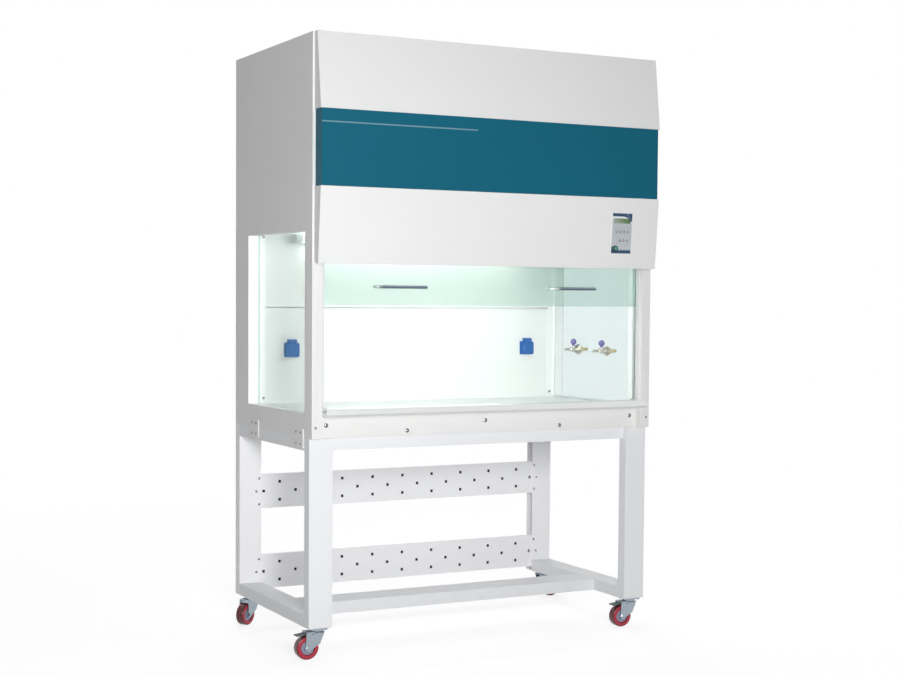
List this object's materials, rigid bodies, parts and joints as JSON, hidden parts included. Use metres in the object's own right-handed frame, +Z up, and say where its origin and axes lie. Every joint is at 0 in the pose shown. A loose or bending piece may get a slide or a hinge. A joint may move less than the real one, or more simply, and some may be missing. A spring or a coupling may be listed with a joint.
{
  "type": "laminar flow cabinet",
  "caption": "Vertical laminar flow cabinet on a wheeled stand, with a counterweighted glass sash, side windows, stainless worktop, gas taps and sockets.",
  "frame": {"origin": "on the floor, under the middle of the whole cabinet's box, the front hood and caster wheels included", "axes": "+Z up, +Y from the front to the back, +X to the right for someone who faces the front"},
  "size_m": [1.327, 0.753, 1.96],
  "materials": {
    "white_paint": "satin",
    "band_paint": "satin",
    "galvanised": "satin",
    "strip_steel": "satin",
    "stainless": "satin",
    "handle_chrome": "polished",
    "shaft_steel": "satin",
    "clear_glass": "polished",
    "aluminium": "satin",
    "weight_iron": "rough",
    "filter_paper": "matte",
    "filter_pad": "matte",
    "motor_iron": "satin",
    "lamp_glass": "polished",
    "white_plastic": "satin",
    "panel_plastic": "satin",
    "button_plastic": "gloss",
    "socket_plastic": "gloss",
    "tap_nickel": "polished",
    "knob_plastic": "gloss",
    "black_plastic": "satin",
    "screw_steel": "satin",
    "caster_zinc": "satin",
    "caster_tread": "gloss",
    "pedal_paint": "satin"
  },
  "bodies": {
    "cabinet": {"side_panel_left": "white_paint", "side_panel_right": "white_paint", "side_frame_left": "white_paint", "side_frame_right": "white_paint", "front_posts": "white_paint", "side_windows": "clear_glass", "window_trims": "white_paint", "rear_wall": "white_paint", "back_panel": "white_paint", "top_panel": "white_paint", "prefilter": "filter_pad", "blower_housing": "galvanised", "blower_motor": "motor_iron", "plenum_box": "galvanised", "hepa_filter": "filter_paper", "diffuser": "white_paint", "lamp_tubes": "lamp_glass", "lamp_fittings": "white_plastic", "hood_upper": "white_paint", "hood_band": "band_paint", "hood_lower": "white_paint", "control_panel": "panel_plastic", "sash_guides": "aluminium", "sash_cables": "shaft_steel", "worktop": "stainless", "apron": "white_paint", "screws": "screw_steel", "base_pan": "white_paint", "socket_bases": "socket_plastic", "gas_taps": "tap_nickel", "power_inlet": "black_plastic", "front_legs": "white_paint", "back_legs": "white_paint", "top_rails": "white_paint", "bottom_rails": "white_paint", "cross_rail": "white_paint", "perforated_strips": "strip_steel", "joint_plates": "white_paint", "caster_plates": "caster_zinc"},
    "sash": {"sash_glass": "clear_glass", "sash_handles": "handle_chrome"},
    "counterweights": {"counterweights": "weight_iron"},
    "shaft_upper": {"sash_shaft_upper": "shaft_steel"},
    "shaft_lower": {"sash_shaft_lower": "shaft_steel"},
    "impeller": {"impeller": "galvanised"},
    "lid_left": {"socket_lid_left": "socket_plastic"},
    "lid_right": {"socket_lid_right": "socket_plastic"},
    "knob_front": {"tap_knob_front": "knob_plastic"},
    "knob_rear": {"tap_knob_rear": "knob_plastic"},
    "power_button": {"power_button": "button_plastic"},
    "swivel_fl": {"caster_fork_fl": "caster_zinc"},
    "wheel_fl": {"caster_wheel_fl": "caster_tread"},
    "swivel_fr": {"caster_fork_fr": "caster_zinc"},
    "wheel_fr": {"caster_wheel_fr": "caster_tread"},
    "swivel_bl": {"caster_fork_bl": "caster_zinc"},
    "wheel_bl": {"caster_wheel_bl": "caster_tread"},
    "swivel_br": {"caster_fork_br": "caster_zinc"},
    "wheel_br": {"caster_wheel_br": "caster_tread"},
    "pedal_fl": {"brake_pedal_fl": "pedal_paint"},
    "pedal_fr": {"brake_pedal_fr": "pedal_paint"}
  },
  "joints": [
    {"name": "sash_slide", "type": "slide", "parent": "cabinet", "child": "sash", "axis": [0, 0, 1], "range_m": [-0.338, 0.055]},
    {"name": "weight_slide", "type": "slide", "parent": "cabinet", "child": "counterweights", "axis": [0, 0, 1], "range_m": [-0.0555, 0.3385]},
    {"name": "shaft_upper_turn", "type": "hinge", "parent": "cabinet", "child": "shaft_upper", "pos_m": [0, -0.2835, 1.9], "axis": [1, 0, 0], "range_deg": [-320, 1942]},
    {"name": "shaft_lower_turn", "type": "hinge", "parent": "cabinet", "child": "shaft_lower", "pos_m": [0, -0.2835, 1.29], "axis": [1, 0, 0], "range_deg": [-320, 1942]},
    {"name": "impeller_turn", "type": "hinge", "parent": "cabinet", "child": "impeller", "pos_m": [0, -0.0035, 1.79], "axis": [1, 0, 0], "continuous": true},
    {"name": "lid_left_open", "type": "hinge", "parent": "cabinet", "child": "lid_left", "pos_m": [-0.47, 0.2445, 0.99], "axis": [-1, 0, 0], "range_deg": [0, 100], "stiffness_Nm_per_rad": 0.01, "springref_deg": -34.38},
    {"name": "lid_right_open", "type": "hinge", "parent": "cabinet", "child": "lid_right", "pos_m": [0.47, 0.2445, 0.99], "axis": [-1, 0, 0], "range_deg": [0, 100], "stiffness_Nm_per_rad": 0.01, "springref_deg": -34.38},
    {"name": "knob_front_turn", "type": "hinge", "parent": "cabinet", "child": "knob_front", "pos_m": [0.567, -0.1145, 0.98], "axis": [0, 0, 1], "range_deg": [0, 90]},
    {"name": "knob_rear_turn", "type": "hinge", "parent": "cabinet", "child": "knob_rear", "pos_m": [0.567, 0.0755, 0.98], "axis": [0, 0, 1], "range_deg": [0, 90]},
    {"name": "power_press", "type": "slide", "parent": "cabinet", "child": "power_button", "axis": [0, 0.9967, 0.0817], "range_m": [0, 0.0015], "stiffness_N_per_m": 800, "springref_m": -0.0005},
    {"name": "swivel_fl_turn", "type": "hinge", "parent": "cabinet", "child": "swivel_fl", "pos_m": [-0.59, -0.2735, 0.088], "axis": [0, 0, 1], "continuous": true},
    {"name": "wheel_fl_roll", "type": "hinge", "parent": "swivel_fl", "child": "wheel_fl", "pos_m": [-0.626, -0.2735, 0.0375], "axis": [0, 1, 0], "continuous": true},
    {"name": "swivel_fr_turn", "type": "hinge", "parent": "cabinet", "child": "swivel_fr", "pos_m": [0.59, -0.2735, 0.088], "axis": [0, 0, 1], "continuous": true},
    {"name": "wheel_fr_roll", "type": "hinge", "parent": "swivel_fr", "child": "wheel_fr", "pos_m": [0.554, -0.2735, 0.0375], "axis": [0, 1, 0], "continuous": true},
    {"name": "swivel_bl_turn", "type": "hinge", "parent": "cabinet", "child": "swivel_bl", "pos_m": [-0.59, 0.3265, 0.088], "axis": [0, 0, 1], "continuous": true},
    {"name": "wheel_bl_roll", "type": "hinge", "parent": "swivel_bl", "child": "wheel_bl", "pos_m": [-0.61949, 0.30585, 0.0375], "axis": [-0.5736, 0.8192, 0], "continuous": true},
    {"name": "swivel_br_turn", "type": "hinge", "parent": "cabinet", "child": "swivel_br", "pos_m": [0.59, 0.3265, 0.088], "axis": [0, 0, 1], "continuous": true},
    {"name": "wheel_br_roll", "type": "hinge", "parent": "swivel_br", "child": "wheel_br", "pos_m": [0.626, 0.3265, 0.0375], "axis": [0, -1, 0], "continuous": true},
    {"name": "pedal_fl_press", "type": "hinge", "parent": "swivel_fl", "child": "pedal_fl", "pos_m": [-0.61, -0.2735, 0.082], "axis": [0, -1, 0], "range_deg": [0, 10]},
    {"name": "pedal_fr_press", "type": "hinge", "parent": "swivel_fr", "child": "pedal_fr", "pos_m": [0.57, -0.2735, 0.082], "axis": [0, -1, 0], "range_deg": [0, 10]}
  ],
  "couplings": [
    {"joint": "weight_slide", "follows": "sash_slide", "ratio": -1},
    {"joint": "shaft_upper_turn", "follows": "sash_slide", "rad_per_m": -100},
    {"joint": "shaft_lower_turn", "follows": "sash_slide", "rad_per_m": -100}
  ]
}
